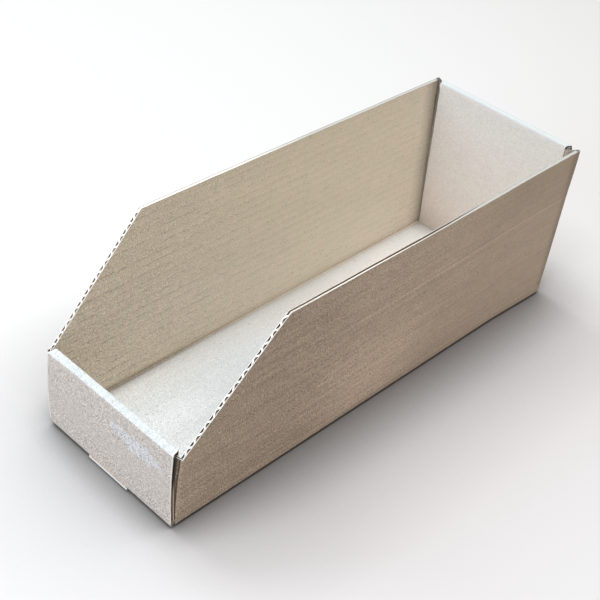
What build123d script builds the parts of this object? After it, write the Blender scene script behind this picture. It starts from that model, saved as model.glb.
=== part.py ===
# Open-front storage bin, folded from one die-cut sheet of corrugated board.
# X runs across the bin, Y from the front lip to the back wall, Z up.
# The origin is under the middle of the base.
from build123d import *
from math import cos, radians, tan
import os

# Outside sizes in millimetres
length = 400.0  # front face to back face
width = 130.0  # across the base
back_height = 140.0  # back wall and the tall part of the sides
lip_height = 65.0  # front wall
slope_run = 88.0  # from the front face to where the sides reach full height
slope_drop = 3.4  # from the top of the lip down to where the slopes start
wall_lean = 4.0  # degrees by which the sides open outward from their base folds

# The sheet: two liners with a fluted paper between them
board = 2.8
liner = 0.3
medium = 0.35  # fluted paper, measured through the sheet
flute_pitch = 6.5
crest_width = 0.5  # glued stretch on top of each flute
trough_radius = 0.8  # inside of the fluted paper's bends

# Folds
fold_radius = 2.4  # outside of the base folds and the upright corner folds
ridge_radius = 1.4  # outside of the two scores on top of each rolled-over wall
layer_gap = 0.15  # air between the layers of a rolled-over wall
side_gap = 1.2  # from an inner panel to the inner face of a side

# Corner flaps, turned in from the sides and held inside the rolled-over walls
flap_reach = 56.0  # from the outer face of the side to the flap's free edge
flap_corner = 8.0  # rounding of the flap's free corners
flap_lift = 0.8  # from the floor to the flap's lower edge
shoulder_run = 7.0  # slanted stretch between the flap's top and its fold
shoulder_drop = 0.8  # from the fold to the top of a front flap

# Lock tabs at the foot of each inner panel, in slots beside the base folds
tab_width = 40.0
tab_taper = 3.0  # how much each side of a tab draws in towards its tip
tab_short = 0.4  # from a tab's tip to the underside of the base
slot_gap = 0.5

# Worked out from the sizes above
front = -length / 2
back = length / 2
side_start = board + layer_gap  # from an end face to the ends of the sides
wall_depth = 3 * board + 2 * layer_gap  # thickness of a rolled-over wall
slope_start = lip_height - slope_drop  # top of the upright folds at the front
inner_half = width / 2 - board - side_gap  # half the width of an inner panel
flute_end = back - side_start - board  # flutes are crushed shut at the back folds


def lean_at(z):
    return z * tan(radians(wall_lean))


def along_y(section, start, end):
    return Pos(0, start, 0) * extrude(Plane.XZ * section, end - start, dir=(0, 1, 0))


def along_x(section, start, end):
    return Pos(start, 0, 0) * extrude(Plane.YZ * section, end - start, dir=(1, 0, 0))


def vertex_near(sketch, x, y):
    return sketch.vertices().sort_by_distance((x, y, 0))[0]


def side_outline():
    # Low at the front, rising along the slope, level to the back
    start, end = front + side_start, back - side_start
    return Polygon(
        (start, 0),
        (start, slope_start),
        (start + fold_radius, slope_start),
        (front + slope_run, back_height),
        (end, back_height),
        (end, 0),
        align=None,
    )


def side_section():
    # The leaning wall, with the base fold rounded at its foot
    outer, top = width / 2, lean_at(back_height)
    section = Polygon(
        (outer - board, 0),
        (outer, 0),
        (outer + top, back_height),
        (outer - board + top, back_height),
        (outer - board + lean_at(board), board),
        (outer - board, board),
        align=None,
    )
    return fillet(vertex_near(section, outer, 0), fold_radius)


def flute_cell(z, facing):
    # The air between one liner and the fluted paper: flat along the liner,
    # with straight flanks and a rounded trough. facing is 1 for the outer
    # liner and -1 for the inner one.
    liner_face = board / 2 - liner
    depth = 2 * liner_face - medium

    def point(along, fill):
        across = facing * (liner_face - depth * fill)
        return (width / 2 - board / 2 + lean_at(z + along) + across, z + along)

    half = (flute_pitch - crest_width) / 2
    low, high = point(-crest_width / 2, 1), point(crest_width / 2, 1)
    cell = Polygon(point(-half, 0), point(half, 0), high, low, align=None)
    return fillet([vertex_near(cell, *low), vertex_near(cell, *high)], trough_radius)


def flute_cells():
    # One row of cells behind each liner, half a pitch apart. The top row is
    # cut open by the top edge of the side.
    half = (flute_pitch - crest_width) / 2
    cells = []
    z, facing = back_height, 1
    while z - half > slope_start + liner:
        cells.append(flute_cell(z, facing))
        z -= flute_pitch / 2
        facing = -facing
    return cells


def flap_face(fold_top, high):
    # From the fold to the free edge; high is the flap's top past its shoulder
    low = board + flap_lift
    fold = width / 2 - board
    free = width / 2 - flap_reach
    face = Polygon(
        (fold + lean_at(low), low),
        (fold + lean_at(fold_top), fold_top),
        (fold + lean_at(fold_top) - shoulder_run, high),
        (free + lean_at(high), high),
        (free + lean_at(low), low),
        align=None,
    )
    corners = [
        vertex_near(face, free + lean_at(high), high),
        vertex_near(face, free + lean_at(low), low),
    ]
    return fillet(corners, flap_corner)


def corner_rounding():
    # Everything inside the upright folds, carried up along the lean
    start, end = front + side_start, back - side_start
    plan = Polygon(
        (0, start),
        (width / 2, start),
        (width / 2, end),
        (0, end),
        align=None,
    )
    corners = [
        vertex_near(plan, width / 2, start),
        vertex_near(plan, width / 2, end),
    ]
    plan = fillet(corners, fold_radius)
    rise = back_height / cos(radians(wall_lean))
    return extrude(plan, rise, dir=(lean_at(1), 0, 1))


def side():
    # The right-hand side with its two corner flaps
    wall = along_y(side_section(), front + side_start, back - side_start)
    wall &= along_x(side_outline(), 0, width)
    front_face = flap_face(slope_start, slope_start - shoulder_drop)
    back_face = flap_face(back_height, back_height - board - layer_gap)
    front_flap = along_y(front_face, front + side_start, front + side_start + board)
    back_flap = along_y(back_face, back - side_start - board, back - side_start)
    body = (wall + front_flap + back_flap) & corner_rounding()
    flutes = [along_y(cell, front, flute_end) for cell in flute_cells()]
    return body - flutes


def wall_profile(wall_height):
    # Up the outer panel, over the flat ridge and down the inner panel, with
    # the outer face at y = 0 and the floor side at y = wall_depth
    foot = board + layer_gap
    profile = Polygon(
        (0, 0),
        (0, wall_height),
        (wall_depth, wall_height),
        (wall_depth, foot),
        (wall_depth - board, foot),
        (wall_depth - board, wall_height - board),
        (board, wall_height - board),
        (board, 0),
        align=None,
    )
    profile = fillet(vertex_near(profile, 0, 0), fold_radius)
    scores = [
        vertex_near(profile, 0, wall_height),
        vertex_near(profile, wall_depth, wall_height),
    ]
    return fillet(scores, ridge_radius)


def end_trim(wall_height):
    # What the die cuts away beyond the right-hand end of the ridge and the
    # inner panel: a tapered ridge end, and room for the leaning side
    past = wall_depth + side_gap
    taper = Polygon(
        (width / 2, 0),
        (inner_half, wall_depth - board),
        (inner_half, past),
        (width, past),
        (width, 0),
        align=None,
    )
    taper = extrude(taper, wall_height, dir=(0, 0, 1))
    room = Polygon(
        (inner_half, 0),
        (inner_half + lean_at(wall_height), wall_height),
        (width, wall_height),
        (width, 0),
        align=None,
    )
    beyond = taper + along_y(room, side_start, past)
    outer_panel = Box(width, board, wall_height, align=(Align.CENTER, Align.MIN, Align.MIN))
    return beyond - Pos(width / 2, 0, -board) * outer_panel


def lock_tab():
    half = tab_width / 2
    foot = board + layer_gap
    face = Polygon(
        (-half, foot),
        (half, foot),
        (half - tab_taper, tab_short),
        (tab_taper - half, tab_short),
        align=None,
    )
    return along_y(face, wall_depth - board, wall_depth)


def square_foot():
    # Beside the slot the outer panel ends in a cut edge, not a fold
    size = (tab_width + 2 * slot_gap, board, board)
    return Box(*size, align=(Align.CENTER, Align.MIN, Align.MIN))


def rolled_wall(wall_height):
    half = width / 2
    wall = along_x(wall_profile(wall_height), -half, half)
    trim = end_trim(wall_height)
    wall = wall - trim - mirror(trim, Plane.YZ)
    return wall + lock_tab() + square_foot()


def slot():
    size = (tab_width + 2 * slot_gap, wall_depth + slot_gap - board, board)
    return Pos(0, board, 0) * Box(*size, align=(Align.CENTER, Align.MIN, Align.MIN))


def at_front(shape):
    return Pos(0, front, 0) * shape


def at_back(shape):
    return Pos(0, back, 0) * Rot(0, 0, 180) * shape


def base():
    size = (width - 2 * board, length - 2 * board, board)
    plate = Box(*size, align=(Align.CENTER, Align.CENTER, Align.MIN))
    return plate - at_front(slot()) - at_back(slot())


def folded_bin():
    right = side()
    tray = base() + right + mirror(right, Plane.YZ)
    return tray + at_front(rolled_wall(lip_height)) + at_back(rolled_wall(back_height))


os.makedirs("parts", exist_ok=True)
folded = folded_bin()
solids = folded.solids()
print("solids", len(solids), "volume", round(folded.volume), "size", folded.bounding_box().size)
export_step(solids[0] if len(solids) == 1 else folded, "parts/folded_bin.step")
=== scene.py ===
import bpy
import math
import numpy as np
from mathutils import Matrix, Vector


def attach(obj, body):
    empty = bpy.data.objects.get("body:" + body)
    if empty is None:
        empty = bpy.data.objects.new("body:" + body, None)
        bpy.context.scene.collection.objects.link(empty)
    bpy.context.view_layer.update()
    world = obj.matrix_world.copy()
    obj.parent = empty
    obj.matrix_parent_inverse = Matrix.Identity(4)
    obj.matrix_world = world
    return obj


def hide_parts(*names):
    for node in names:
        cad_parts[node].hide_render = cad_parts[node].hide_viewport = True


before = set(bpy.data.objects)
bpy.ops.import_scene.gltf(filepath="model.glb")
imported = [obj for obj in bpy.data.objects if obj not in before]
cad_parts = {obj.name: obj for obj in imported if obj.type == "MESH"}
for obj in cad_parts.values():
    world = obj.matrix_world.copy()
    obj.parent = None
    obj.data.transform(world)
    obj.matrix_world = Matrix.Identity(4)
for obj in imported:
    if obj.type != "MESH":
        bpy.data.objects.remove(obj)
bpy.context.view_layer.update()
scene = bpy.context.scene
print("frame loaded")

mm = 0.001  # a millimetre in metres

# the camera, at the photograph's viewing angle
cameraSettings = {
    "position": (474.47, -555.57, 619.25),  # mm
    "right": (0.702716, 0.707287, 0.077038),
    "down": (0.481648, -0.39323, -0.783189),
    "forward": (-0.523645, 0.587465, -0.616993),
    "focalPixels": 1247.2,
    "imagePixels": 600.0,
    "sensor": 36.0,  # mm
    "clipStart": 0.01,  # m
}


def placeCamera(settings):
    data = bpy.data.cameras.new("camera")
    data.sensor_width = settings["sensor"]
    data.lens = settings["focalPixels"] * settings["sensor"] / settings["imagePixels"]
    data.clip_start = settings["clipStart"]
    camera = bpy.data.objects.new("camera", data)
    right, down, forward = (Vector(settings[k]) for k in ("right", "down", "forward"))
    place = Matrix((right, -down, -forward)).transposed().to_4x4()
    place.translation = Vector(settings["position"]) * mm
    camera.matrix_world = place
    scene.collection.objects.link(camera)
    scene.camera = camera


placeCamera(cameraSettings)

# The board is three papers: an outside liner, a fluted paper and an inside liner.
# Every panel is a grid of points on its outer face with a partner on its inner face,
# and each paper is laid between the two at its own depth.
# Lengths are in millimetres as far as the papers, and foldBoard turns them into metres.
# x runs to the right side, y to the back and z up.
boardSettings = {
    "board": 2.8,
    "liner": 0.42,
    "medium": 0.40,
    "flutePitch": 6.5,
    "rowsPerFlute": 8,
    "washboard": 0.09,  # how far a liner sinks between the flutes
    "frayed": 0.22,  # the pale strip along a cut edge
    "layerGap": 0.15,  # air between two layers of board
    "tightFold": 0.4,  # inside radius of the square folds
    "sharpAngle": 40,  # degrees between two faces that meet in a hard edge
}
board, layerGap = boardSettings["board"], boardSettings["layerGap"]
rowStep = boardSettings["flutePitch"] / boardSettings["rowsPerFlute"]
outsideLook, insideLook, fluteLook, cutLook = range(4)  # the order of the materials

binSettings = {
    "halfLength": 200.0,
    "halfWidth": 65.0,
    "backHeight": 140.0,
    "slopeStart": 61.6,  # height where the cut slopes leave the front corners
    "slopeTop": 88.0,  # from the front face to where the sides are level
    "sideEnd": 193.4,  # from the middle to where a side turns into a flap
    "flapLift": 3.6,  # where the flaps start above the floor
    "lowestRow": 4.0,  # the rows of points on the sides stop above this
    "foldRadius": 2.4,
    "foldPoints": 7,  # points round a fold
    "slotHalf": 20.3125,  # 25 columns of points
    "slotEnd": 190.8,  # from the middle to the inner side of a slot
}
levelFrom = binSettings["slopeTop"] - binSettings["halfLength"]  # y where the rims become level


def smooth(x, low, high):
    t = np.clip((np.asarray(x, float) - low) / (high - low), 0, 1)
    return t * t * (3 - 2 * t)


def tone(settings, name, x):
    # A soft step to an amount, between two places along an axis
    amount, low, high = settings[name]
    return amount * smooth(x, low, high)


def blendLine(x, points):
    xs, ys = zip(*points)
    return np.interp(x, xs, ys)


def wobble(seed, step, size, x):
    # A smooth random line through knots a step apart, the first of them at x = -1000
    count, start = 800, -1000
    knots = np.random.default_rng(seed).uniform(-size, size, count)
    place = np.clip((np.asarray(x, float) - start) / step, 0, count - 2)
    low = np.floor(place).astype(int)
    t = smooth(place - low, 0, 1)
    return knots[low] * (1 - t) + knots[low + 1] * t


def foldArc(centre, radius, start, stop, count):
    # Points round a fold, with the angles in degrees
    t = np.radians(np.linspace(start, stop, count))
    return [(centre[0] + radius * math.cos(a), centre[1] + radius * math.sin(a)) for a in t]


def cellFaces(keep, joined, flip):
    # Quads of a grid's cells, then the sides of cells along its cut edges.
    # joined holds, for a side of the grid, the rows or columns where another grid carries on.
    rows, cols = keep.shape
    index = np.arange((rows + 1) * (cols + 1)).reshape(rows + 1, cols + 1)
    a, b = index[:-1, :-1], index[:-1, 1:]
    e, d = index[1:, :-1], index[1:, 1:]
    skin = np.stack([a, b, d, e], -1)[keep]
    around = np.zeros((rows + 2, cols + 2), bool)
    around[1:-1, 1:-1] = keep
    for side, row in (("top", 0), ("bottom", -1)):
        around[row, 1:-1] = joined.get(side, False)
    for side, column in (("left", 0), ("right", -1)):
        around[1:-1, column] = joined.get(side, False)
    edges = []
    for first, second, past in (
        (a, b, around[:-2, 1:-1]),
        (b, d, around[1:-1, 2:]),
        (d, e, around[2:, 1:-1]),
        (e, a, around[1:-1, :-2]),
    ):
        cut = keep & ~past
        edges.append(np.stack([first[cut], second[cut]], -1))
    edges = np.concatenate(edges)
    if flip:
        skin, edges = skin[:, ::-1], edges[:, ::-1]
    return skin, edges


def layPaper(grid, low, high, looks):
    # One closed paper between two depths, as points, quads and a material for each quad.
    # looks are the materials of its outer face, its inner face and its cut edge.
    outer, inner = grid["outer"], grid["inner"]
    upper = outer + (inner - outer) * low[..., None]
    lower = outer + (inner - outer) * high[..., None]
    keep = grid["keep"]
    middle = keep.shape[0] // 2, keep.shape[1] // 2
    across = outer[middle[0] + 1, middle[1]] - outer[middle]
    along = outer[middle[0], middle[1] + 1] - outer[middle]
    facing = np.dot(np.cross(along, across), outer[middle] - inner[middle])
    skin, edges = cellFaces(keep, grid["joined"], facing < 0)
    count = outer.shape[0] * outer.shape[1]
    rim = np.stack([edges[:, 1], edges[:, 0], edges[:, 0] + count, edges[:, 1] + count], -1)
    quads = np.concatenate([skin, skin[:, ::-1] + count, rim])
    kinds = []
    for look in looks[:2]:
        face = np.full(keep.shape, look)
        if look != fluteLook and "frayed" in grid:
            pale = grid["frayed"]
            if look == insideLook and "darkCells" in grid:
                pale = pale & ~grid["darkCells"]
            face[pale] = looks[2]
        kinds.append(face[keep])
    rims = np.full(len(rim), looks[2])
    if looks[1] == insideLook and "darkRim" in grid:
        rims[grid["darkRim"].ravel()[edges[:, 0]]] = insideLook
    points = np.concatenate([upper.reshape(-1, 3), lower.reshape(-1, 3)])
    return points, quads, np.concatenate(kinds + [rims])


def foldBoard(name, grids, materials):
    # Lays the three papers of every grid and joins them in one piece
    s = boardSettings
    rise = (s["board"] - 2 * s["liner"] - s["medium"]) / 2 / s["board"]
    liner, medium = s["liner"] / s["board"], s["medium"] / s["board"]
    sink = s["washboard"] / s["board"]
    points, quads, kinds, flutes, pales, shades = [], [], [], [], [], []
    start = 0
    for grid in grids:
        wave = np.cos(2 * np.pi * grid["flute"])
        standing = 1 - grid["crush"]
        top = sink * (0.5 - 0.5 * wave) * standing
        bottom = 1 - sink * (0.5 + 0.5 * wave) * standing
        centre = 0.5 - rise * wave * standing
        # where a flute is filled with fibres, its paper takes up the whole depth
        filled = grid.get("filled", np.zeros_like(wave))
        mediumTop = (centre - medium / 2) * (1 - filled) + (top + liner) * filled
        mediumFoot = (centre + medium / 2) * (1 - filled) + (bottom - liner) * filled
        for low, high, looks in (
            (top, top + liner, (outsideLook, fluteLook, cutLook)),
            (mediumTop, mediumFoot, (fluteLook, fluteLook, cutLook)),
            (bottom - liner, bottom, (fluteLook, insideLook, cutLook)),
        ):
            p, q, k = layPaper(grid, low, high, looks)
            points.append(p)
            quads.append(q + start)
            kinds.append(k)
            flutes.append(np.tile(grid["flute"].ravel(), 2))
            pales.append(np.tile(grid["pale"].ravel(), 2))
            shade = "outsideShade" if looks[0] == outsideLook else "shade"
            shades.append(np.tile(grid.get(shade, 0 * grid["pale"]).ravel(), 2))
            start += len(p)
    points, quads = np.concatenate(points), np.concatenate(quads)
    used, where = np.unique(quads, return_inverse=True)
    mesh = bpy.data.meshes.new(name)
    mesh.from_pydata((points[used] * mm).tolist(), [], where.reshape(-1, 4).tolist())
    mesh.polygons.foreach_set("material_index", np.concatenate(kinds).astype(np.int32))
    mesh.polygons.foreach_set("use_smooth", np.ones(len(quads), bool))
    # pale carries painted light, a paler cooler colour; shade and outsideShade carry painted
    # shade, and painted light below zero
    for label, values in (("flute", flutes), ("pale", pales), ("shade", shades)):
        mesh.attributes.new(label, "FLOAT", "POINT")
        mesh.attributes[label].data.foreach_set("value", np.concatenate(values)[used])
    mesh.set_sharp_from_angle(angle=math.radians(s["sharpAngle"]))
    for material in materials:
        mesh.materials.append(material)
    mesh.update()
    piece = bpy.data.objects.new(name, mesh)
    scene.collection.objects.link(piece)
    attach(piece, "root")
    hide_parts("folded_bin")
    print(name, "quads", len(quads))
    return piece


# how the folded sheet stands: nothing on it is quite square
standSettings = {
    "rightLean": 8.3,  # how far the right rim leans out where it becomes level
    "rightLoss": 0.6,  # and how much less at its rear end
    "rightBow": 1.1,  # and how much more halfway
    "leftLean": ((-200, 9.2), (-112, 9.3), (0, 7.8), (200, 4.6)),  # the left rim, by y
    "rearEnd": 194.0,
    "spreadFrom": 130.0,  # y from where the right side spreads out at its rear
    "spreadFoot": 2.0,
    "spreadLoss": 1.5,  # how much less it spreads at its rim
    # An end panel draws back below its middle and above it. Each row is how far it does,
    # the height it starts at, and the height it takes.
    "front": ((0.8, 30, 30), (1.5, 30, 34)),
    "back": ((0.6, 50, 50), (1.6, 70, 70)),
    # where the flutes open on a side: the first one, their skew for each mm, their pitch
    "rightFlutes": (-0.15, 0.0011, 6.9),
    "leftFlutes": (0.43, 0.0004, 6.65),
}


def leanOut(hand, y, z):
    # How far a side stands outside its base fold. hand is 1 for the right side.
    s = standSettings
    if hand > 0:
        along = np.clip((y - levelFrom) / (s["rearEnd"] - levelFrom), 0, 1)
        top = s["rightLean"] - s["rightLoss"] * along
        top = top + s["rightBow"] * np.sin(np.pi * along)
    else:
        top = blendLine(y, s["leftLean"])
    share = z / binSettings["backHeight"]
    spread = (s["spreadFoot"] - s["spreadLoss"] * share) * (hand > 0)
    return top * share + spread * smooth(y, s["spreadFrom"], s["rearEnd"])


def endFace(end, z):
    # y of an end panel at a height. end is 1 for the back.
    foot, top = standSettings["front" if end < 0 else "back"]
    y = end * binSettings["halfLength"]
    y = y - end * foot[0] * np.clip((foot[1] - z) / foot[2], 0, 1) ** 2
    return y - end * top[0] * np.clip((z - top[1]) / top[2], 0, 1) ** 2


def drawnBack(end, z):
    return binSettings["halfLength"] - end * endFace(end, z)


def fluteOnWall(hand, y, z):
    # Whole numbers where the fluted paper touches the outside liner. The flutes run
    # a little askew to the rim, so they open along it in turn.
    first, skew, pitch = standSettings["rightFlutes" if hand > 0 else "leftFlutes"]
    return (binSettings["backHeight"] - z) / pitch + first + skew * (y - levelFrom)


def wallHeights():
    s = binSettings
    heights = np.arange(s["backHeight"], s["lowestRow"], -rowStep)
    extra = [s["slopeStart"], s["flapLift"], s["backHeight"] - boardSettings["frayed"]]
    return np.unique(np.concatenate([heights, extra]))


# tray: the base and both sides, one U-shaped path from rim to rim
traySettings = {
    "baseEnd": 195.8,  # from the middle to an end of the base
    "foldEnd": 195.2,  # and to an end of its long folds
    "innerFold": 0.6,  # inside radius of the long folds
    "foldClear": 0.3,  # the columns on the base stop this far from a fold
    "innerLoss": 0.4,  # the base's inner face is this much narrower at each side
    "endRows": (168, 178, 186),  # where points lie along the bin, beside the even rows
    "evenRows": (-152, 152, 17),
    "rimBand": 0.4,  # the top of a side that counts as its rim
    "rimDip": 0.1,
    "cutNoise": (3, 1.7, 0.14),  # seed, knots this far apart, size
    "sideNoise": (5, 60, 0.12),
    "rimNoise": (7, 2.5, 0.1),
    "wavesFrom": (10, 60),  # heights between which the sides begin to wave
    "crushAtEnds": (189, 193),
    "crushAtFold": (-7, -3),  # heights below zero, from open flutes to flat ones
    "crushOnBase": 4,  # how far in from a fold the base is pressed flat
    # how far frayed fibres close the flutes along the rims, by y and by height
    "fillRight": (1, 20, 90),
    "fillLeft": (0.2, -60, 60),
    "fillLeftFront": 0.75,
    "fillRim": (0.9, 136, 139),
    "fillMouth": (0.15, 0.6),
    "darkRimTo": 15,  # y up to where the right rim has a dark inner edge
}

# Painted shade and painted light as (amount, from, to) along x, y or z. They darken as painted
# shade, or lighten as painted light below zero.
trayPaintedLightAndShade = {
    # how pale the base is, as painted light: most of all in front and to the right
    "pale": 0.78, "paleRight": (0.22, -50, -20), "paleRear": (-0.2, -60, 60),
    "paleEdge": (1, 60.6, 61.6),
    # painted shade at the long folds, softer towards the rear
    "fold": (0.35, 58.5, 62), "foldTop": (1, 3.5, 6.5), "foldRear": (0.6, -120, 40),
    "foldItself": 0.15,
    "besideFold": 0.12, "besideFoldFront": (0.25, 60, 150), "besideFoldEdge": (1, 52, 61),
    # painted shade in the rear corners and along the back panel's foot
    "corner": (0.38, 178, 191), "panelFoot": (0.3, 180, 191),
    # painted light inside the left side
    "leftRear": (-0.1, -120, 120), "leftFoot": (1, 3, 12), "leftTop": (-0.12, 50, 120),
    # painted shade and painted light across the base
    "baseFront": (0.14, -150, -40), "baseRear": (0.14, 0, 150), "baseEnd": (0.03, 130, 160),
    "bright": 0.1, "brightFrom": (1, -36, -12), "brightTo": (1, -8, 4),
    "brightFront": (1, 80, 125),
    # painted shade outside the right side, with painted light in a lighter field in its middle
    "side": 0.1, "sideMiddle": (-0.16, -120, 0), "sideRear": (0.1, 60, 140),
    "sideTop": (1, 80, 130), "sideCorner": (0.25, 187, 193), "sideFoot": (1, 3, 12),
    "glow": (-0.2, -90, -40), "glowRear": (1, -60, 0), "glowTop": (1, -90, -40),
    # painted shade under the folds, and darker on the rear part of both rims
    "under": (0.9, -0.9, -0.2), "rim": (0.45, -60, 60),
}


def sidePath():
    # Up a side from its base fold: outer and inner lines as (distance out, height)
    s, b = binSettings, board
    half, r, q = s["halfWidth"], s["foldRadius"], traySettings["innerFold"]
    outer = foldArc((half - r, r), r, -90, 0, s["foldPoints"])
    inner = foldArc((half - b - q, b + q), q, -90, 0, s["foldPoints"])
    for z in wallHeights():
        outer.append((half, z))
        inner.append((half - b, max(z, b + q)))
    return np.array(outer), np.array(inner)


def trayLines(flat):
    # The whole path from rim to rim, with -1 and 1 for the sides and 0 for the base
    t, b = traySettings, board
    count = int((flat - t["foldClear"]) / rowStep)
    across = np.arange(-count, count + 1) * rowStep
    lines = []
    for side, share, z in zip(sidePath(), (1, (flat - t["innerLoss"]) / flat), (0, b)):
        base = np.stack([across * share, np.full(len(across), z)], -1)
        lines.append(np.concatenate([side[::-1] * (-1, 1), base, side]))
    hand = np.zeros(len(lines[0]))
    hand[:len(side)], hand[-len(side):] = -1, 1
    return lines[0], lines[1], hand


def trayRows(hand, height):
    # y of every point: the sides end at the flaps or along their cut slopes
    s, t = binSettings, traySettings
    end, rows = t["baseEnd"], list(t["endRows"])
    stations = [-end, -end + boardSettings["frayed"], -s["slotEnd"]] + [-y for y in rows[::-1]]
    stations += list(np.linspace(*t["evenRows"])) + rows + [s["slotEnd"], end]
    share = (np.array(stations) + end) / (2 * end)
    isWall = (hand != 0) & (height > s["flapLift"] - 0.1)
    isLow = (hand != 0) & ~isWall
    last = np.where(isWall, s["sideEnd"], np.where(isLow, t["foldEnd"], end))
    run = (levelFrom + s["sideEnd"]) / (s["backHeight"] - s["slopeStart"])
    first = -last + np.clip(height - s["slopeStart"], 0, None) * run * isWall
    first += wobble(*t["cutNoise"], height * hand) * (height > s["slopeStart"] + 2)
    return first[:, None] + (last - first)[:, None] * share, isWall, isLow


def shadeTray(grid, x, y, tall, hand, isWall, isLow, inRim):
    # Painted shade at the folds and in the rear corners, and painted light towards the rear
    def at(name, place):
        return tone(trayPaintedLightAndShade, name, place)

    onBase, wide = hand == 0, np.abs(x)
    pale = trayPaintedLightAndShade["pale"] + at("paleRight", x) + at("paleRear", y)
    grid["pale"] = np.where(onBase, pale * (1 - at("paleEdge", wide)), 0.0)
    inFold = at("fold", wide) * (1 - at("foldTop", tall)) + trayPaintedLightAndShade["foldItself"] * isLow
    beside = (trayPaintedLightAndShade["besideFold"] + at("besideFoldFront", -y)) * at("besideFoldEdge", wide)
    onLeft = at("leftRear", y) * at("leftFoot", tall) + at("leftTop", tall)
    shade = inFold * (1 - at("foldRear", y)) + (beside + at("panelFoot", y)) * onBase
    shade += at("corner", y) * isWall + onLeft * (hand < 0)
    bright = at("brightFrom", x) * (1 - at("brightTo", x)) * at("brightFront", -y)
    across = at("baseFront", y) - at("baseRear", y) + at("baseEnd", y)
    shade += (across - trayPaintedLightAndShade["bright"] * bright) * onBase
    side = trayPaintedLightAndShade["side"] + at("sideMiddle", y) + at("sideCorner", y)
    side += at("sideRear", y) * at("sideTop", tall)
    side += at("glow", y) * at("glowRear", -y) * at("glowTop", -tall)
    outside = np.where((hand > 0) & isWall, side * at("sideFoot", tall), 0)
    outside += at("under", -tall) * ~onBase
    onTop = tall > binSettings["backHeight"] - traySettings["rimDip"]
    greyRim = at("rim", y) * onTop
    grid["shade"] = np.where(inRim, greyRim, shade)
    grid["outsideShade"] = np.where(inRim, greyRim, outside)


def trayGrid():
    s, t = binSettings, traySettings
    flat, rim = s["halfWidth"] - s["foldRadius"], s["backHeight"]
    outer, inner, hand = trayLines(flat)
    height = outer[:, 1]
    y, isWall, isLow = trayRows(hand, height)
    sloped = isWall & (height > s["slopeStart"] - 0.01)
    onCut = sloped[:-1] & sloped[1:]
    grid = {"joined": {"left": ~onCut & ~isLow[:-1], "right": ~isLow[:-1]}}
    hand = hand[:, None]
    for face, line in (("outer", outer), ("inner", inner)):
        x = line[:, :1] + np.zeros_like(y)
        z = line[:, 1:] + np.zeros_like(y)
        out = (hand > 0) * leanOut(1, y, z) - (hand < 0) * leanOut(-1, y, z)
        out = out + wobble(*t["sideNoise"], y + 3 * z) * smooth(z, *t["wavesFrom"])
        rough = wobble(*t["rimNoise"], y + 500 * hand) * smooth(z, rim - t["rimBand"], rim)
        z = z + rough - t["rimDip"] * (z > rim - t["rimDip"])
        grid[face] = np.stack([x + out, y, z], -1)
    x, tall = outer[:, :1], height[:, None] + np.zeros_like(y)
    flute = np.where(hand > 0, fluteOnWall(1, y, tall), fluteOnWall(-1, y, tall))
    grid["flute"] = np.where(hand == 0, x / boardSettings["flutePitch"], flute)
    onBase = smooth(np.abs(x), flat - t["crushOnBase"], flat)
    crush = np.where(hand == 0, onBase, smooth(-tall, *t["crushAtFold"]))
    atEnds = smooth(np.abs(y), *t["crushAtEnds"]) * ((y >= 0) | (tall < s["slopeStart"]))
    grid["crush"] = np.maximum(crush, atEnds)
    inRim = tall > rim - t["rimBand"]
    shadeTray(grid, x, y, tall, hand, isWall[:, None], isLow[:, None], inRim)
    # frayed fibres half close the flutes along a cut
    onLeft = t["fillLeftFront"] + tone(t, "fillLeft", y)
    filled = np.where(hand > 0, tone(t, "fillRight", y), onLeft) * tone(t, "fillRim", tall)
    mouth = 1 - smooth(np.abs(np.cos(2 * np.pi * grid["flute"][:, :2])), *t["fillMouth"])
    filled[:, :2] = np.maximum(filled[:, :2], mouth * sloped[:, None])
    grid["filled"] = filled
    grid["frayed"] = inRim[:-1, 1:] & inRim[1:, 1:]
    grid["frayed"][onCut, 0] = True
    grid["darkRim"] = inRim & (hand > 0) & (y < t["darkRimTo"])
    grid["darkCells"] = grid["darkRim"][1:, 1:]
    middle = (outer[:-1, 0] + outer[1:, 0]) / 2
    inSlot = (np.abs(middle) < s["slotHalf"]) & (hand[:-1, 0] == 0) & (hand[1:, 0] == 0)
    grid["keep"] = np.ones((y.shape[0] - 1, y.shape[1] - 1), bool)
    grid["keep"][np.ix_(inSlot, [0, -1])] = False
    return grid


# corner flaps: each side carries on round its upright fold into a flap
flapSettings = {
    "fold": 1.2,  # outside radius of the upright folds
    "foldRun": 3.65,  # from the end of a side to the outer face of its flap
    "innerStart": 0.6,  # the inner face starts this far past the inner fold
    "reach": (2.2, 3.2, 4.5, 7, 10, 16, 24, 34, 44, 50, 53.5, 56.0),  # points along a flap
    "corner": 8,  # radius of the free corners
    "shoulder": 7.0,  # the top slants down over this length to pass under the ridge
    "shoulderDrop": 0.8,  # by this much at the front
    # the upright folds at the back stand out towards their tops
    "proudRight": 2.2, "proudLeft": 3.0, "proudFrom": (90, 138), "proudTo": (3, 7.5),
    "crush": (1.0, 0.6, 0.2),  # flattened at the fold, less so beside it and on the flap
}

# painted shade as (amount, from, to), by height or by the distance inward from the side; below
# zero it is painted light
flapPaintedShade = {
    "hollow": 0.3, "hollowTop": (0.3, 30, 110), "hollowEnd": (1, 6, 12),
    "crease": (0.0, -0.1, -0.05, 0.4, 0.9, 0.95, 0.92, 0.85, 0.8, 0.6),  # round the fold
    "behind": (0.95, 2.0, 3.4),  # where a front flap goes in behind its panel
    "behindTop": (1, 34, 50), "foot": (1, 3, 8),
    "rim": 0.2, "rimEnd": (0.3, 1.5, 4), "creaseAtBack": 0.3,
    "edge": (0.25, 3, 12),  # the rear right fold
}


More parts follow.
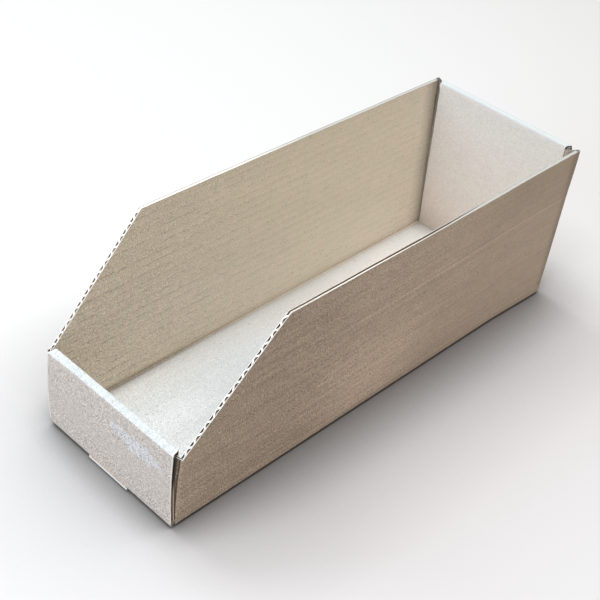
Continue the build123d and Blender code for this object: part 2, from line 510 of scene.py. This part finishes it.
def flapPlan():
    # Plan of a fold and its flap: outer and inner lines as (inward, towards the end)
    s, b, pinch = flapSettings, board, boardSettings["tightFold"]
    r, count = s["fold"], binSettings["foldPoints"]
    plan = [(0, -s["foldRun"])] + foldArc((r, -r), r, 180, 90, count)
    planIn = [(b, -s["foldRun"])]
    planIn += foldArc((b + pinch, -b - pinch), pinch, 180, 90, count)
    plan += [(x, 0) for x in s["reach"]]
    planIn += [(max(x, b + s["innerStart"]), -b) for x in s["reach"]]
    return np.array(plan), np.array(planIn)


def flapHeights(heights, inward, top, under):
    # Heights on a flap, with its slanting shoulder and its rounded free corners
    s, lift = flapSettings, binSettings["flapLift"]
    fall = (top - under) * np.clip(inward / s["shoulder"], 0, 1)
    z = heights - fall * ((heights - lift) / (top - lift))
    corner = s["corner"]
    nearFree = np.clip(inward - (s["reach"][-1] - corner), 0, corner)
    cut = corner - np.sqrt(np.clip(corner**2 - nearFree**2, 0, None))
    middle, half = (under + lift) / 2, (under - lift) / 2
    return np.where(inward > corner, middle + (z - middle) * (half - cut) / half, z)


def flapGrid(hand, end):
    s, f, b = binSettings, flapSettings, board
    if end < 0:
        top = s["slopeStart"]
        under = top - f["shoulderDrop"]
    else:
        top = s["backHeight"]
        under = top - b - layerGap
    heights = wallHeights()
    heights = heights[(heights >= s["flapLift"] - 0.01) & (heights <= top + 0.01)][:, None]
    plan, planIn = flapPlan()
    inward = np.repeat(plan[None, :, 0], len(heights), 0)
    z = flapHeights(heights, inward, top, under)
    grid = {"joined": {"left": True}}
    sideEnd = end * s["sideEnd"]
    proud = f["proudRight" if hand > 0 else "proudLeft"] * (end > 0)
    proud = proud * smooth(z, *f["proudFrom"]) * (1 - smooth(inward, *f["proudTo"]))
    face = endFace(end, z) - end * (b + layerGap)
    for name, line in (("outer", plan), ("inner", planIn)):
        y = face + proud + end * line[None, :, 1]
        y[:, 0] = sideEnd
        x = hand * (s["halfWidth"] + leanOut(hand, sideEnd, z) - line[None, :, 0])
        grid[name] = np.stack([x, y, z], -1)
    columns = np.arange(len(plan)) - s["foldPoints"]
    grid["flute"] = fluteOnWall(hand, sideEnd, heights) + np.zeros_like(z)
    grid["crush"] = blendLine(columns, zip((2, 3, 4), f["crush"])) + np.zeros_like(z)
    grid["pale"] = np.zeros_like(z)
    shadeFlap(grid, hand, end, z, inward, heights, top)
    grid["keep"] = np.ones((z.shape[0] - 1, z.shape[1] - 1), bool)
    return grid


def shadeFlap(grid, hand, end, z, inward, heights, top):
    # Painted shade: a dark crease at the corner, dark where a flap goes in behind its panel, and
    # darker in the hollows, rims and folds at the back
    def at(name, place):
        return tone(flapPaintedShade, name, place)

    crease = flapPaintedShade["crease"]
    outside = np.array(crease + crease[-1:] * (z.shape[1] - len(crease)))[None]
    outside = np.maximum(outside, at("behind", inward) * at("behindTop", heights))
    outside = outside * at("foot", z)
    shade = np.zeros_like(z)
    if end > 0:
        shade = (flapPaintedShade["hollow"] + at("hollowTop", z)) * (1 - at("hollowEnd", inward))
        rim = flapPaintedShade["rim"] + at("rimEnd", inward)
        rim = rim * (heights > top - traySettings["rimDip"])
        shade = np.maximum(shade, rim)
        edge = at("edge", z) * (hand > 0)
        outside = np.maximum(np.maximum(flapPaintedShade["creaseAtBack"] * outside, edge), rim)
    grid["shade"], grid["outsideShade"] = shade, outside


# rolled-over walls: up the outer panel, over the ridge, down the inner panel
rolledSettings = {
    "footStart": 4.2,  # from the end face to where a wall leaves the base
    "startHalf": 62.8,  # half its width there
    "footClear": 0.9,  # the inner face starts this far above the base
    "panelFrom": 5.0,  # height of the outer panel's first row
    "panelClear": 1.0,  # its last row stops this far below the ridge fold
    "innerClear": 1.5,  # and the inner panel's first row this far
    "ridgePinch": 0.3,  # inside radius of the two ridge folds
    "ridgePoints": 8,
    "ridgeFlat": 4,  # rows between the two ridge folds
    "inside": 8.3,  # from the end face to the inner panel, at the ridge
    "insideFoot": 8.7,  # and at its foot
    "fluteShift": 0.5,
    "cornerLoss": 0.3,  # how much narrower the ridge starts
    "still": 50.0,  # the columns out to here stand upright
    "edgeNoise": (11, 4, 0.16),  # seed, knots this far apart, size
    "edgeFrom": 64,
    "tuckFrom": (1, 6),  # below the ridge
    "sagAcross": (35, 64), "sagHeight": 12, "sagDepth": (8, 6),
    "ridgeCrush": 0.5,
    "hollowHeights": (30, 44), "hollowAcross": (61, 64),
    # painted shade at the outer panel's foot, low on the inner panel and at its foot
    "footShade": 0.6,
    "innerLowShade": 0.02,  # low on the inner panel
    "innerFootShade": 0.25,
    "squareFoot": ((0.0, 0.0), (1.5, 0.4), (2.4, 1.0), (5.0, 1.0)),  # height, share drawn back
    "tab": ((2.95, 0.0), (1.8, 0.4), (0.4, 1.0)),  # height, share of the taper
    "tabHalf": 20.0,
    "tabTaper": 3.0,
}
# Each wall's rows are rows of points on a panel. A radius belongs to a ridge fold, the taper
# is the rows where the ridge narrows, and a wall sags and tucks in towards its left.
# In these settings pale means painted light, a paler cooler colour; the ridge, fold, inner panel
# and hollow amounts are painted shade, lighter below zero.
frontWallSettings = {
    "end": -1, "height": 65.0, "rows": 24, "outerRadius": 1.4, "innerRadius": 1.4,
    "ridgeHalf": 62.4, "footHalf": 61.2, "taperFrom": 4, "taperTo": 15,
    "sag": 1.0, "tuckLeft": 0.0, "paleOut": 0.3, "paleIn": 0.3, "paleEnd": 4,
    "ridgeShade": 0.09, "foldShade": 0.05, "innerPanelShade": 0.0, "hollow": 0.85, "fray": 0.9,
}
backWallSettings = {
    "end": 1, "height": 140.0, "rows": 36, "outerRadius": 1.8, "innerRadius": 3.2,
    "ridgeHalf": 62.5, "footHalf": 61.4, "taperFrom": 5, "taperTo": 14,
    "sag": 0.0, "tuckLeft": 0.8, "paleOut": 0.0, "paleIn": 0.5, "paleEnd": 1,
    "ridgeShade": 0.15, "foldShade": 0.24, "innerPanelShade": -0.11, "hollow": 0.45, "fray": 0.3,
}


def rolledPath(settings):
    # Outer and inner lines as (distance from the end face inward, height)
    c, b, pinch = rolledSettings, board, rolledSettings["ridgePinch"]
    r, square, around = binSettings["foldRadius"], boardSettings["tightFold"], c["ridgePoints"]
    top, inside, end = settings["height"], c["inside"], settings["end"]
    rOut, rIn = settings["outerRadius"], settings["innerRadius"]
    foot, lip = drawnBack(end, 0), drawnBack(end, top)
    ceiling = top - b - 2 * pinch
    outer, inner = [(c["footStart"], 0)], [(c["footStart"], b)]
    outer += foldArc((foot + r, r), r, 270, 180, binSettings["foldPoints"])
    centre = (foot + b + square, b + square)
    inner += foldArc(centre, square, 270, 180, binSettings["foldPoints"])
    for z in np.linspace(c["panelFrom"], top - rOut - c["panelClear"], settings["rows"]):
        outer.append((drawnBack(end, z), z))
        inner.append((drawnBack(end, z) + b, min(max(z, b + c["footClear"]), ceiling)))
    outer += foldArc((lip + rOut, top - rOut), rOut, 180, 90, around)
    inner += foldArc((lip + b + pinch, top - b - pinch), pinch, 180, 90, around)
    for t in np.arange(1, c["ridgeFlat"] + 1) / (c["ridgeFlat"] + 1):
        outer.append((lip + rOut + (inside - rIn - lip - rOut) * t, top))
        inner.append((lip + b + pinch + (inside - lip - 2 * b - 2 * pinch) * t, top - b))
    outer += foldArc((inside - rIn, top - rIn), rIn, 90, 0, around)
    inner += foldArc((inside - b - pinch, top - b - pinch), pinch, 90, 0, around)
    low = b + layerGap
    for z in np.linspace(top - rIn - c["innerClear"], low, settings["rows"]):
        depth = inside + (c["insideFoot"] - inside) * (top - z) / (top - low)
        outer.append((depth, z))
        inner.append((depth - b, min(z, ceiling)))
    return np.array(outer), np.array(inner)


def rolledWidths(settings, outer, columns, marks):
    # x of every point: a wall narrows over its ridge and is narrower inside
    s, c = binSettings, rolledSettings
    onFoot, onPanel, onInside = marks
    top, half = settings["height"], s["halfWidth"]
    w = np.full(len(outer), half)
    w[:onFoot] = np.linspace(c["startHalf"], half, onFoot)
    w[onPanel:onInside] = blendLine(np.arange(onInside - onPanel), (
        (settings["taperFrom"], half - c["cornerLoss"]),
        (settings["taperTo"], settings["ridgeHalf"]),
    ))
    z = outer[:, 1]
    heights = (board, top)
    w[onInside:] = np.interp(z[onInside:], heights, (settings["footHalf"], settings["ridgeHalf"]))
    tuck = settings["tuckLeft"] * smooth(top - z, *c["tuckFrom"])
    tuck[:onInside] = 0
    u = np.abs(columns)
    w = w[:, None] - tuck[:, None] * (columns < 0)
    seed, step, size = c["edgeNoise"]
    along = z[:, None] * 3 + 300 * np.sign(columns)
    w = w + wobble(seed + settings["end"], step, size, along) * (u > c["edgeFrom"])
    w = np.minimum(w, half)
    still = c["still"]
    moved = still + (u - still) * (w - still) / (half - still)
    return np.where(u > still, moved, u) * np.sign(columns)


def rolledPaintedLightAndShade(settings, onPanel, onRidge, count):
    # Painted light (pale) and painted shade (dark) along the path, by the number of the row
    c, ridge, fold = rolledSettings, settings["ridgeShade"], settings["foldShade"]
    paleEnd, inside = onRidge + settings["paleEnd"], settings["innerPanelShade"]
    pale = blendLine(np.arange(count), (
        (onPanel + 1, settings["paleOut"]), (onPanel + 5, 1),
        (paleEnd, 1), (paleEnd + 4, settings["paleIn"]), (count - 1, 0),
    ))
    shade = blendLine(np.arange(count), (
        (1, c["footShade"]), (3, 0), (onPanel + 1, 0), (onPanel + 5, ridge),
        (onRidge + 1, ridge), (onRidge + 3, fold), (onRidge + 5, fold),
        (onRidge + 7, inside), (onRidge + 9, inside),
        (count - 8, c["innerLowShade"]), (count - 1, c["innerFootShade"]),
    ))
    return pale, shade


def footAndTab(end, xs, flute):
    # The square foot of the outer panel beside its slot, and the tab below the inner panel
    s, c, b = binSettings, rolledSettings, board
    footRows, footShares = np.array(c["squareFoot"]).T
    tabRows, tabShares = np.array(c["tab"]).T
    depths = np.array([drawnBack(end, z) for z in footRows]) * footShares
    tabHalf = c["tabHalf"] - tabShares * c["tabTaper"]
    strips = []
    for rows, depth, inner, x, joined in (
        (footRows, depths, b, np.ones((4, 1)) * xs, "bottom"),
        (tabRows, np.full(3, c["insideFoot"]), -b, tabHalf[:, None] / s["slotHalf"] * xs, "top"),
    ):
        strip = {"joined": {joined: True}, "keep": np.ones((len(rows) - 1, len(xs) - 1), bool)}
        for name, extra in (("outer", 0.0), ("inner", inner)):
            y = end * (s["halfLength"] - depth - extra)[:, None] + np.zeros_like(x)
            strip[name] = np.stack([x, y, rows[:, None] + np.zeros_like(x)], -1)
        strip["flute"] = flute + np.zeros_like(x)
        strip["crush"] = strip["pale"] = np.zeros_like(x)
        strips.append(strip)
    foot, tab = strips
    foot["frayed"] = np.zeros_like(foot["keep"])
    foot["frayed"][0] = True
    return foot, tab


def rolledGrids(settings):
    s, c = binSettings, rolledSettings
    end, top = settings["end"], settings["height"]
    outer, inner = rolledPath(settings)
    # the pale strip of frayed fibres along the side cut edges, widened on the front panel as a
    # painted highlight
    fray = s["halfWidth"] - settings["fray"]
    count = round(s["halfWidth"] / rowStep)
    columns = np.arange(-count, count + 1) * rowStep
    columns = np.sort(np.concatenate([columns, [-fray, fray]]))
    # row numbers where the parts of the path start
    onFoot = 1 + s["foldPoints"]
    onPanel = onFoot + settings["rows"]
    onRidge = onPanel + c["ridgePoints"] + c["ridgeFlat"]
    onInside = onRidge + c["ridgePoints"]
    x = rolledWidths(settings, outer, columns, (onFoot, onPanel, onInside))
    middle = (columns[:-1] + columns[1:]) / 2
    inSlot = np.abs(middle) < s["slotHalf"]
    grid = {"joined": {"top": ~inSlot}, "keep": np.ones((len(outer) - 1, len(middle)), bool)}
    grid["keep"][:onFoot, inSlot] = False
    grid["frayed"] = (np.abs(middle) > fray) & (np.arange(1, len(outer))[:, None] > onFoot)
    for name, line in (("outer", outer), ("inner", inner)):
        depth = line[:, :1] + np.zeros_like(x)
        z = line[:, 1:] + np.zeros_like(x)
        # the ridge sags a little towards its left end
        sag = settings["sag"] * smooth(-x, *c["sagAcross"]) * smooth(z, top - c["sagHeight"], top)
        z = z - sag * smooth(c["sagDepth"][0] - depth, 0, c["sagDepth"][1])
        grid[name] = np.stack([x, end * (s["halfLength"] - depth), z], -1)
    flute = columns / boardSettings["flutePitch"] + c["fluteShift"]
    grid["flute"] = flute + np.zeros_like(x)
    crush = np.ones(len(outer))
    crush[onFoot + 1:onPanel - 1] = 0
    crush[onPanel + c["ridgePoints"] + 1:onRidge - 1] = c["ridgeCrush"]
    crush[onInside + 1:] = 0
    grid["crush"] = crush[:, None] + np.zeros_like(x)
    pale, shade = rolledPaintedLightAndShade(settings, onPanel, onRidge, len(outer))
    grid["pale"] = pale[:, None] + np.zeros_like(x)
    grid["outsideShade"] = shade[:, None] + np.zeros_like(x)
    # painted shade: the hollow between the papers is darkest high up beside the upright folds
    hollow = settings["hollow"] * smooth(outer[:, 1:], *c["hollowHeights"])
    grid["shade"] = hollow * smooth(np.abs(columns), *c["hollowAcross"])
    spot = np.abs(columns) <= s["slotHalf"] + 0.01
    return [grid, *footAndTab(end, columns[spot], flute[spot])]


# The papers. Lengths in materials, lamps, floor and world are in metres, and only
# the places and widths of marks are in millimetres.
paperSettings = {
    "brown": (0.735, 0.640, 0.535),
    "olive": (0.705, 0.640, 0.525),
    "dun": (0.72, 0.618, 0.525),  # outside in place of olive
    # painted light: a paler, cooler colour for faces lit from above and in front
    "pale": (0.69, 0.745, 0.765),
    # painted shade: the warm dark that creases and corners are painted with
    "paintedShadeColor": (0.08, 0.04, 0.0),  # a warm dark for creases and corners
    "speck": (0.36, 0.28, 0.21), "fleck": (0.90, 0.88, 0.82),
    "roughness": 0.8, "specular": 0.25,
    "crispBetween": (-0.22, 0.15),  # y - x from the front right to the rear left
    "crisp": (1.25, 0.3),  # how strong the grain is there
    "grain": 0.3,  # how much the fine grain lightens and darkens
    "fibres": 0.9,  # shares of the grain
    "insideStreaks": 0.12, "outsideStreaks": 0.25,
    # painted shade along the washboard ribs
    "insideLines": 0.36,  # how dark the lines over the flutes are
    "outsideLines": 0.08,
    "lineEdge": (0.09, 0.01),  # shares of a flute, from its edge to where it is darkest
    "wander": 0.09,
    "paleGrain": 0.55,  # what is left of the grain and the lines where the paper is pale
    "paleLines": 0.15,
    "bits": 0.5,  # how strong the dark and pale bits in the pulp are
    "bumpHeight": 0.00004,
    "bump": (0.7, 0.5, 0.5),  # grain, fibres and lines
}
plainSettings = {
    "flute": (0.38, 0.29, 0.21),
    "cutEdge": (0.91, 0.90, 0.86),
    "roughness": 0.9,
}

# Each noise has its scale, detail and roughness, how much each axis counts (less along y
# draws it out along the bin), and the values between which it goes from nothing to full.
noiseSettings = {
    "cloud": (75, 3.0, 0.55, None, (0.35, 0.65)),
    "grain": (1500, 2.0, 0.6, None, (0.3, 0.7)),
    "fibres": (2400, 1.0, 0.5, (1.0, 0.45, 1.0), (0.3, 0.7)),
    "streaks": (330, 2.0, 0.5, (1.0, 0.06, 1.0), (0.3, 0.7)),
    "wander": (190, 2.0, 0.5, None, (0.3, 0.7)),
    "broken": (150, 3.0, 0.65, (0.8, 0.3, 1.0), (0.42, 0.56)),
    "specks": (640, 1.0, 0.5, (1.0, 0.8, 1.0), (0.69, 0.74)),
    "flecks": (700, 1.0, 0.5, (1.1, 1.0, 0.9), (0.70, 0.75)),
    "creasePatches": (420, 3.0, 0.6, None, (0.2, 0.55)),
    "ragged": (260, 4.0, 0.7, None, (0.3, 0.7)),
    "bits": (620, 3.0, 0.6, (0.6, 1.0, 1.0), (0.32, 0.58)),
}


def newMaterial(name):
    material = bpy.data.materials.new(name)
    material.use_nodes = True
    return material, material.node_tree.nodes, material.node_tree.links


def fill(node, values):
    for name, value in values.items():
        node.inputs[name].default_value = value


class paperNodes:
    # Small helpers for one material's nodes
    def __init__(self, name):
        self.material, self.nodes, self.links = newMaterial(name)
        self.shader = self.nodes["Principled BSDF"]
        self.place = self.add("TexCoord").outputs["Object"]

    def add(self, kind):
        return self.nodes.new("ShaderNode" + kind)

    def link(self, value, socket):
        if hasattr(value, "is_output"):
            self.links.new(value, socket)
        else:
            socket.default_value = value

    def vector(self, operation, first, second):
        node = self.add("VectorMath")
        node.operation = operation
        self.link(first, node.inputs[0])
        self.link(second, node.inputs["Scale"] if operation == "SCALE" else node.inputs[1])
        return node.outputs["Value" if operation in ("DOT_PRODUCT", "DISTANCE") else "Vector"]

    def noise(self, name):
        scale, detail, roughness, stretch = noiseSettings[name][:4]
        place = self.vector("MULTIPLY", self.place, stretch) if stretch else self.place
        node = self.add("TexNoise")
        fill(node, {"Scale": scale, "Detail": detail, "Roughness": roughness})
        self.links.new(place, node.inputs["Vector"])
        return node.outputs["Fac"]

    def patches(self, name, to=(0.0, 1.0), noise=None):
        return self.spread(noise or self.noise(name), *noiseSettings[name][4], to)

    def math(self, operation, *values):
        node = self.add("Math")
        node.operation = operation
        for value, socket in zip(values, node.inputs):
            self.link(value, socket)
        return node.outputs[0]

    def times(self, first, second):
        return self.math("MULTIPLY", first, second)

    def spread(self, value, low, high, to=(0.0, 1.0)):
        node = self.add("MapRange")
        node.interpolation_type = "SMOOTHSTEP"
        self.link(value, node.inputs["Value"])
        fill(node, {"From Min": low, "From Max": high, "To Min": to[0], "To Max": to[1]})
        return node.outputs["Result"]

    def mix(self, amount, first, second, blend="MIX"):
        node = self.add("Mix")
        node.data_type = "RGBA"
        node.blend_type = blend
        self.link(amount, node.inputs["Factor"])
        for value, socket in ((first, node.inputs["A"]), (second, node.inputs["B"])):
            self.link(value if hasattr(value, "is_output") else (*value, 1), socket)
        return node.outputs["Result"]

    def tint(self, color, light):
        node = self.add("CombineColor")
        for socket in node.inputs[:3]:
            self.links.new(light, socket)
        return self.mix(1.0, color, node.outputs[0], "MULTIPLY")

    def fromLine(self, start, end, weigh=(1, 1, 1)):
        # Distance from a stretch between two points given in mm, and how far along it.
        # weigh says how much each axis counts, so a line can lie on a bowed panel.
        a, b = (Vector(v * w * mm for v, w in zip(point, weigh)) for point in (start, end))
        run = b - a
        offset = self.vector("SUBTRACT", self.vector("MULTIPLY", self.place, weigh), a)
        share = self.add("Clamp")
        ahead = self.vector("DOT_PRODUCT", offset, run / run.length_squared)
        self.links.new(ahead, share.inputs["Value"])
        along = share.outputs[0]
        return self.vector("DISTANCE", offset, self.vector("SCALE", run, along)), along

    def attribute(self, name):
        node = self.add("Attribute")
        node.attribute_name = name
        return node.outputs["Fac"]

    def axis(self, index):
        node = self.add("SeparateXYZ")
        self.links.new(self.place, node.inputs[0])
        return node.outputs[index]

    def bump(self, height, distance):
        node = self.add("Bump")
        fill(node, {"Distance": distance, "Strength": 1.0})
        self.links.new(height, node.inputs["Height"])
        self.links.new(node.outputs["Normal"], self.shader.inputs["Normal"])


def kraftPaper(name, settings, inside, marks=None):
    p = paperNodes(name)
    shine = {"Roughness": settings["roughness"], "Specular IOR Level": settings["specular"]}
    fill(p.shader, shine)
    pale = p.attribute("pale")
    # the grain is sharper towards the front right of the bin, and softer where it is pale
    toRear = p.math("SUBTRACT", p.axis(1), p.axis(0))
    crisp = p.spread(toRear, *settings["crispBetween"], settings["crisp"])
    crisp = p.times(crisp, p.spread(pale, 0.3, 0.9, (1.0, settings["paleGrain"])))
    other = settings["olive" if inside else "dun"]
    color = p.mix(p.patches("cloud"), settings["brown"], other)
    # painted light: the pale attribute mixes in a paler, cooler colour
    color = p.mix(pale, color, settings["pale"])
    if marks:
        color = marks(p, color, settings)
    # fine grain, short fibres and soft streaks lying along the bin
    grain, fibres = p.noise("grain"), p.noise("fibres")
    g = settings["grain"]
    f = settings["fibres"] * g
    streak = settings["insideStreaks" if inside else "outsideStreaks"] * g
    light = p.patches("grain", (-g, g), grain)
    light = p.math("ADD", light, p.patches("fibres", (-f, f), fibres))
    light = p.math("ADD", light, p.patches("streaks", (-streak, streak)))
    light = p.math("ADD", p.times(light, crisp), 1.0)
    # Lines where the liner is stuck to the fluted paper, broken here and there. The fluted
    # paper touches the outside liner at each whole number and the inside one at each half.
    wander = p.patches("wander", (-settings["wander"], settings["wander"]))
    flute = p.math("ADD", p.attribute("flute"), 0.0 if inside else 0.5)
    fromFlute = p.math("SUBTRACT", p.math("FRACT", p.math("ADD", flute, wander)), 0.5)
    line = p.spread(p.math("ABSOLUTE", fromFlute), *settings["lineEdge"])
    line = p.times(p.times(line, p.patches("broken")), crisp)
    line = p.times(line, p.spread(pale, 0.0, 0.5, (1.0, settings["paleLines"])))
    darker = p.times(line, settings["insideLines" if inside else "outsideLines"])
    light = p.times(light, p.math("SUBTRACT", 1.0, darker))
    # painted shade from the shade attribute, and painted light where it is below zero
    shade = p.attribute("shade")  # below zero it lightens
    light = p.times(light, p.math("SUBTRACT", 1.0, p.math("MINIMUM", shade, 0.0)))
    color = p.mix(shade, p.tint(color, light), settings["paintedShadeColor"], "MULTIPLY")
    # dark and pale bits in the pulp
    for noise, look in (("specks", "speck"), ("flecks", "fleck")):
        amount = p.times(p.patches(noise), settings["bits"])
        color = p.mix(amount, color, settings[look])
    p.links.new(color, p.shader.inputs["Base Color"])
    parts = zip((grain, fibres, line), settings["bump"])
    parts = [p.times(part, share) for part, share in parts]
    height = p.math("SUBTRACT", p.math("ADD", parts[0], parts[1]), parts[2])
    p.bump(height, settings["bumpHeight"])
    return p.material


# marks on the outside, in mm; these say how much each axis counts on a panel
onSide, onFront = (0.2, 1, 1), (1, 0.3, 1)
creaseHighlightShadeAndScratch = {
    # lines on the right side as (start, end, half width, share of the colour): painted highlights
    # above 1 and painted shade below 1 along the creases, and a paler scratch
    "creaseTop": ((70.6, 198.6, 97.7), (70.3, -40, 93.0), 1.3, 1.17),
    "creaseTopOver": ((70.6, 198.6, 99.9), (70.3, -40, 95.1), 0.9, 0.93),
    "creaseTopEnd": ((70.3, -40, 93.0), (70.4, -84, 92.5), 0.6, 1.08),
    "creaseFoot": ((65.4, 198, 8.3), (65.2, -190, 6.6), 1.7, 1.13),
    "creaseFootOver": ((65.4, 198, 11.0), (65.2, -190, 9.4), 1.0, 0.95),
    "scratch": ((68.7, -64.7, 62), (66.7, -54.7, 28), 0.6, 1.06),
}
scuffSettings = {
    "color": (0.77, 0.785, 0.785),
    "line": ((9, -199.5, 48.5), (57, -199.5, 46.6)),
    "halfWidth": (5.0, 8.0),  # at its left end and in its middle
    "rightEnd": 0.2,  # how narrow it gets there
    "ragged": (0.5, 1.3),
    "edge": (1.15, 0.7),
    "bitsMore": 0.25,
    "sparse": 0.35,  # how much thinner its left end is
    "faintest": 0.35,
    # a dark scratch above it
    "scratch": ((17, -199.3, 54.0), (54, -199.3, 52.6)),
    "scratchEdge": (0.7, 0.1), "scratchDark": 0.2,
}
whiteFlecks = (
    # place, panel and half width
    ((-30.6, -199.1, 55.7), onFront, 0.5),
    ((-6.8, -200, 35.4), onFront, 0.45),
    ((62.2, -200, 26.4), onFront, 0.6),
    ((68.9, -182.5, 63.0), onSide, 0.7),
    ((67.1, -156.8, 34.4), onSide, 0.5),
    ((73.2, 8.6, 133.1), onSide, 0.5),
)
fleckRun, fleckStrength = 0.4, 0.8


def outsideMarks(p, color, settings):
    # painted highlights and painted shade along the crease grooves, and a paler scratch
    creasePatches = p.patches("creasePatches", (0.5, 1.0))
    for start, end, half, share in creaseHighlightShadeAndScratch.values():
        near = p.spread(p.fromLine(start, end, onSide)[0], half * mm, half * 0.2 * mm)
        near = p.times(p.times(near, creasePatches), share - 1)
        color = p.tint(color, p.math("ADD", 1.0, near))
    # the pale scuff across the front panel, widest in its middle, with a ragged left end
    s = scuffSettings
    away, along = p.fromLine(*s["line"], onFront)
    width = p.spread(along, 0.0, 0.5, [w * mm for w in s["halfWidth"]])
    width = p.times(width, p.spread(along, 1.05, 0.5, (s["rightEnd"], 1.0)))
    width = p.times(width, p.patches("ragged", s["ragged"]))
    worn = p.spread(p.math("DIVIDE", away, width), *s["edge"])
    sparse = p.times(p.spread(along, 0.35, 0.0), s["sparse"])
    bits = p.math("SUBTRACT", p.math("ADD", p.patches("bits"), s["bitsMore"]), sparse)
    worn = p.times(worn, p.spread(bits, 0.0, 0.9, (s["faintest"], 1.0)))
    color = p.mix(worn, color, s["color"])
    away, along = p.fromLine(*s["scratch"], onFront)
    dark = p.spread(away, *(w * mm for w in s["scratchEdge"]))
    color = p.mix(p.times(dark, s["scratchDark"]), color, settings["speck"])
    for (x, y, z), panel, half in whiteFlecks:
        away, along = p.fromLine((x, y, z), (x + fleckRun, y + fleckRun, z), panel)
        near = p.spread(away, half * mm, half * 0.4 * mm)
        color = p.mix(p.times(near, fleckStrength), color, settings["fleck"])
    return color


def plainPaper(name, color):
    p = paperNodes(name)
    fill(p.shader, {"Roughness": plainSettings["roughness"]})
    # painted shade from the shade attribute
    light = p.math("SUBTRACT", 1.0, p.attribute("shade"))
    p.links.new(p.tint(color, light), p.shader.inputs["Base Color"])
    return p.material


papers = (
    kraftPaper("outside_kraft", paperSettings, False, outsideMarks),
    kraftPaper("inside_kraft", paperSettings, True),
    plainPaper("flute_kraft", plainSettings["flute"]),
    plainPaper("cut_edge", plainSettings["cutEdge"]),
)

foldBoard("tray", [trayGrid()], papers)
foldBoard("corner_flaps", [flapGrid(hand, end) for hand in (-1, 1) for end in (-1, 1)], papers)
foldBoard("front_wall", rolledGrids(frontWallSettings), papers)
foldBoard("back_wall", rolledGrids(backWallSettings), papers)
print("bin folded")

# Floor, lamps and world. The floor and the world show the camera one colour and
# light the bin with another.
floorSettings = {
    "half": 3.0,
    "drop": 0.0014,  # how far it lies below the bin
    "seen": (0.735, 0.725, 0.725), "lighting": (0.40, 0.35, 0.30),
    "nearBin": 0.12,  # how far from the bin it starts to darken
    "samples": 12,
    "openFrom": 0.45,  # how open to the air the darkest place is
    "darkest": 0.4,
}
worldSettings = {"seen": (1, 1, 1), "lighting": (0.26, 0.225, 0.18)}
lampAim = (0, 0, 0.05)
lampSettings = {
    # place, size, power and colour
    "key": ((0, 0, 2.2), 1.2, 38, (1.0, 1.0, 1.03)),
    "left": ((-1.556, 0, 1.556), 1.2, 19.5, (0.85, 1.0, 1.03)),
    "front": ((0, -2.098, 0.663), 1.2, 21, (0.80, 0.91, 1.12)),
    "rear": ((1.159, 0.451, 0.129), 0.8, 0.7, (0.8, 0.9, 1.1)),
}


def softLamp(name, place, size, power, color):
    data = bpy.data.lights.new(name, "AREA")
    data.shape = "DISK"
    data.size = size
    data.energy = power
    data.color = color
    lamp = bpy.data.objects.new(name, data)
    lamp.location = place
    lamp.rotation_euler = (Vector(lampAim) - Vector(place)).to_track_quat("-Z", "Y").to_euler()
    scene.collection.objects.link(lamp)


def colorMix(nodes, first, second):
    node = nodes.new("ShaderNodeMix")
    node.data_type = "RGBA"
    fill(node, {"A": (*first, 1), "B": (*second, 1)})
    return node


def seenOrLighting(nodes, links, settings):
    mix = colorMix(nodes, settings["lighting"], settings["seen"])
    path = nodes.new("ShaderNodeLightPath")
    links.new(path.outputs["Is Camera Ray"], mix.inputs["Factor"])
    return mix


def paleFloor(settings):
    size = settings["half"]
    mesh = bpy.data.meshes.new("floor")
    corners = [(-size, -size, 0), (size, -size, 0), (size, size, 0), (-size, size, 0)]
    mesh.from_pydata(corners, [], [(0, 1, 2, 3)])
    floor = bpy.data.objects.new("floor", mesh)
    floor.location.z = -settings["drop"]
    material, nodes, links = newMaterial("floor_paint")
    shader = nodes["Principled BSDF"]
    fill(shader, {"Roughness": 1.0, "Specular IOR Level": 0.0})
    # painted shadow: the floor darkens softly close to the bin, by ambient occlusion
    near = nodes.new("ShaderNodeAmbientOcclusion")
    near.samples = settings["samples"]
    fill(near, {"Distance": settings["nearBin"]})
    paintedShadow = nodes.new("ShaderNodeMapRange")
    fill(paintedShadow, {"From Min": settings["openFrom"], "To Min": settings["darkest"]})
    links.new(near.outputs["AO"], paintedShadow.inputs["Value"])
    seen = colorMix(nodes, (0, 0, 0), settings["seen"])
    links.new(paintedShadow.outputs["Result"], seen.inputs["Factor"])
    mix = seenOrLighting(nodes, links, settings)
    links.new(seen.outputs["Result"], mix.inputs["B"])
    links.new(mix.outputs["Result"], shader.inputs["Base Color"])
    mesh.materials.append(material)
    scene.collection.objects.link(floor)


def studioWorld(settings):
    world = bpy.data.worlds.new("studio")
    world.use_nodes = True
    nodes, links = world.node_tree.nodes, world.node_tree.links
    mix = seenOrLighting(nodes, links, settings)
    links.new(mix.outputs["Result"], nodes["Background"].inputs["Color"])
    scene.world = world


paleFloor(floorSettings)
studioWorld(worldSettings)
for name, lamp in lampSettings.items():
    softLamp(name, *lamp)
scene.view_settings.view_transform = "Standard"
print("lamps and floor set")
